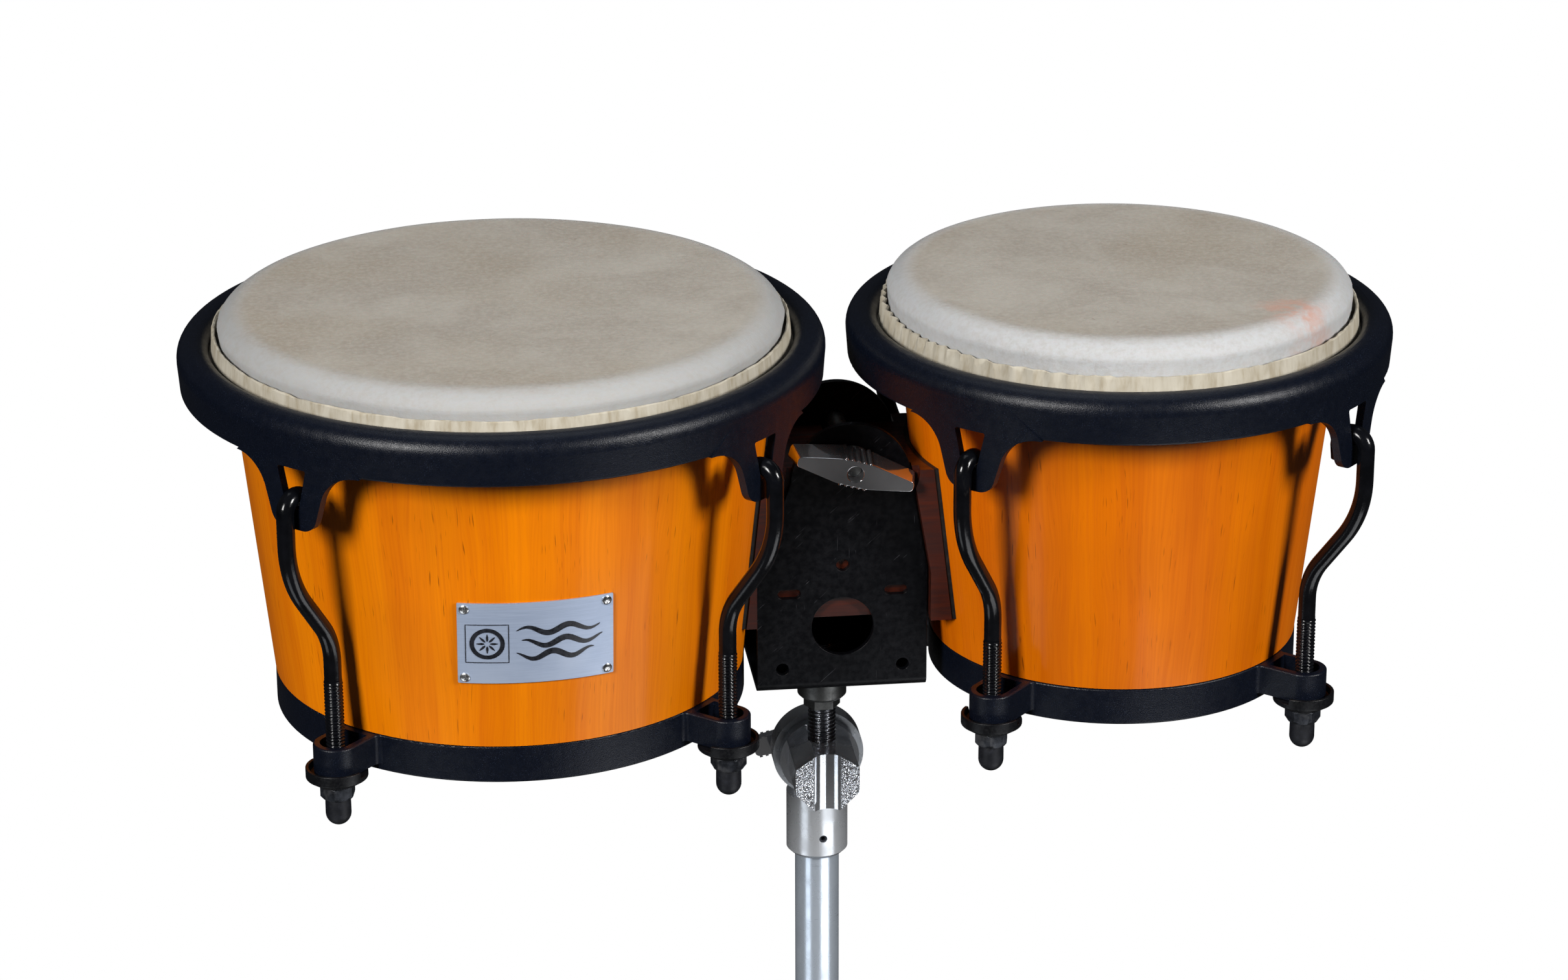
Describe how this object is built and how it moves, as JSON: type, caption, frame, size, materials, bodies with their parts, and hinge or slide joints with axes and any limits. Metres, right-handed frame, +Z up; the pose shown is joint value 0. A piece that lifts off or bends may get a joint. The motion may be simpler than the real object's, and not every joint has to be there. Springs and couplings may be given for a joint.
{
  "type": "bongo drums",
  "caption": "Pair of amber wooden bongo drums with black tuning hardware, clamped in a bracket on the tilter and tube of a stand.",
  "frame": {"origin": "centre of the lower end of the stand tube", "axes": "+Z up the stand tube, +X towards the small drum, -Y towards the front with the nameplate"},
  "size_m": [0.5001, 0.2638, 0.4143],
  "materials": {
    "tube_chrome": "polished, lightly scratched",
    "chrome": "polished",
    "black_nut_steel": "dark satin",
    "rod_steel": "dark plated thread",
    "dull_zinc_nut": "dull zinc",
    "black_bracket_paint": "satin black, scuffed",
    "zinc_steel": "zinc plated",
    "stained_block_wood": "stained and lacquered",
    "gasket_rubber": "matte",
    "black_washer_steel": "satin black",
    "brushed_aluminium": "brushed and polished",
    "plated_screw": "bright plated",
    "amber_lacquered_wood": "clear gloss lacquer over amber stain",
    "rawhide": "dry natural hide",
    "black_powder_coat": "satin black powder coat",
    "black_gloss_steel": "gloss black",
    "black_rubber": "matte"
  },
  "bodies": {
    "stand": {"stand_tube": "tube_chrome", "tilter_body": "chrome", "set_screw": "black_nut_steel"},
    "rod_holder": {"rod_holder": "chrome"},
    "lever_screw": {"tilt_lever_screw": "chrome"},
    "drum_pair": {"swivel_rod": "rod_steel", "rod_lock_nut": "black_nut_steel", "rod_flange_nut": "dull_zinc_nut", "u_bracket": "black_bracket_paint", "clamp_bolt": "zinc_steel", "clamp_washer": "zinc_steel", "centre_block": "stained_block_wood", "block_gaskets": "gasket_rubber", "block_bolts": "zinc_steel", "block_washers": "black_washer_steel", "nameplate": "brushed_aluminium", "nameplate_screws": "plated_screw", "large_shell": "amber_lacquered_wood", "large_skin": "rawhide", "large_flesh_hoop": "zinc_steel", "large_bottom_ring": "black_powder_coat", "large_washers": "black_washer_steel", "small_shell": "amber_lacquered_wood", "small_skin": "rawhide", "small_flesh_hoop": "zinc_steel", "small_bottom_ring": "black_powder_coat", "small_washers": "black_washer_steel"},
    "wing_nut": {"wing_nut": "chrome"},
    "large_rim": {"large_counterhoop": "black_powder_coat", "large_rod_1": "black_gloss_steel", "large_rod_2": "black_gloss_steel", "large_rod_3": "black_gloss_steel", "large_rod_4": "black_gloss_steel"},
    "large_nut_1": {"large_nut_1": "black_nut_steel", "large_cap_1": "black_rubber"},
    "large_nut_2": {"large_nut_2": "black_nut_steel", "large_cap_2": "black_rubber"},
    "large_nut_3": {"large_nut_3": "black_nut_steel", "large_cap_3": "black_rubber"},
    "large_nut_4": {"large_nut_4": "black_nut_steel", "large_cap_4": "black_rubber"},
    "small_rim": {"small_counterhoop": "black_powder_coat", "small_rod_1": "black_gloss_steel", "small_rod_2": "black_gloss_steel", "small_rod_3": "black_gloss_steel", "small_rod_4": "black_gloss_steel"},
    "small_nut_1": {"small_nut_1": "black_nut_steel", "small_cap_1": "black_rubber"},
    "small_nut_2": {"small_nut_2": "black_nut_steel", "small_cap_2": "black_rubber"},
    "small_nut_3": {"small_nut_3": "black_nut_steel", "small_cap_3": "black_rubber"},
    "small_nut_4": {"small_nut_4": "black_nut_steel", "small_cap_4": "black_rubber"}
  },
  "joints": [
    {"name": "tilt", "type": "hinge", "parent": "stand", "child": "rod_holder", "pos_m": [0, 0, 0.1965], "axis": [0, 1, 0], "range_deg": [-45, 45]},
    {"name": "lever_turn", "type": "hinge", "parent": "stand", "child": "lever_screw", "pos_m": [0, 0, 0.1965], "axis": [0, 1, 0], "continuous": true},
    {"name": "swivel", "type": "hinge", "parent": "rod_holder", "child": "drum_pair", "pos_m": [0, -0.017, 0.243], "axis": [0, 0, 1], "continuous": true},
    {"name": "wing_nut_turn", "type": "hinge", "parent": "drum_pair", "child": "wing_nut", "pos_m": [0.0087, -0.046, 0.344], "axis": [0, 1, 0], "continuous": true},
    {"name": "large_rim_slide", "type": "slide", "parent": "drum_pair", "child": "large_rim", "axis": [0, 0, 1], "range_m": [0, 0.006]},
    {"name": "large_nut_1_turn", "type": "hinge", "parent": "drum_pair", "child": "large_nut_1", "pos_m": [-0.20661, -0.10053, 0.2358], "axis": [0, 0, 1], "range_deg": [-1800, 0]},
    {"name": "large_nut_2_turn", "type": "hinge", "parent": "drum_pair", "child": "large_nut_2", "pos_m": [-0.04787, -0.09221, 0.2358], "axis": [0, 0, 1], "range_deg": [-1800, 0]},
    {"name": "large_nut_3_turn", "type": "hinge", "parent": "drum_pair", "child": "large_nut_3", "pos_m": [-0.05619, 0.06653, 0.2358], "axis": [0, 0, 1], "range_deg": [-1800, 0]},
    {"name": "large_nut_4_turn", "type": "hinge", "parent": "drum_pair", "child": "large_nut_4", "pos_m": [-0.21493, 0.05821, 0.2358], "axis": [0, 0, 1], "range_deg": [-1800, 0]},
    {"name": "small_rim_slide", "type": "slide", "parent": "drum_pair", "child": "small_rim", "axis": [0, 0, 1], "range_m": [0, 0.006]},
    {"name": "small_nut_1_turn", "type": "hinge", "parent": "drum_pair", "child": "small_nut_1", "pos_m": [0.06124, -0.08648, 0.2377], "axis": [0, 0, 1], "range_deg": [-1800, 0]},
    {"name": "small_nut_2_turn", "type": "hinge", "parent": "drum_pair", "child": "small_nut_2", "pos_m": [0.19328, -0.07956, 0.2377], "axis": [0, 0, 1], "range_deg": [-1800, 0]},
    {"name": "small_nut_3_turn", "type": "hinge", "parent": "drum_pair", "child": "small_nut_3", "pos_m": [0.18636, 0.05248, 0.2377], "axis": [0, 0, 1], "range_deg": [-1800, 0]},
    {"name": "small_nut_4_turn", "type": "hinge", "parent": "drum_pair", "child": "small_nut_4", "pos_m": [0.05432, 0.04556, 0.2377], "axis": [0, 0, 1], "range_deg": [-1800, 0]}
  ],
  "couplings": [
    {"joint": "large_nut_1_turn", "follows": "large_rim_slide", "rad_per_m": -5026.5},
    {"joint": "large_nut_2_turn", "follows": "large_rim_slide", "rad_per_m": -5026.5},
    {"joint": "large_nut_3_turn", "follows": "large_rim_slide", "rad_per_m": -5026.5},
    {"joint": "large_nut_4_turn", "follows": "large_rim_slide", "rad_per_m": -5026.5},
    {"joint": "small_nut_1_turn", "follows": "small_rim_slide", "rad_per_m": -5026.5},
    {"joint": "small_nut_2_turn", "follows": "small_rim_slide", "rad_per_m": -5026.5},
    {"joint": "small_nut_3_turn", "follows": "small_rim_slide", "rad_per_m": -5026.5},
    {"joint": "small_nut_4_turn", "follows": "small_rim_slide", "rad_per_m": -5026.5}
  ]
}
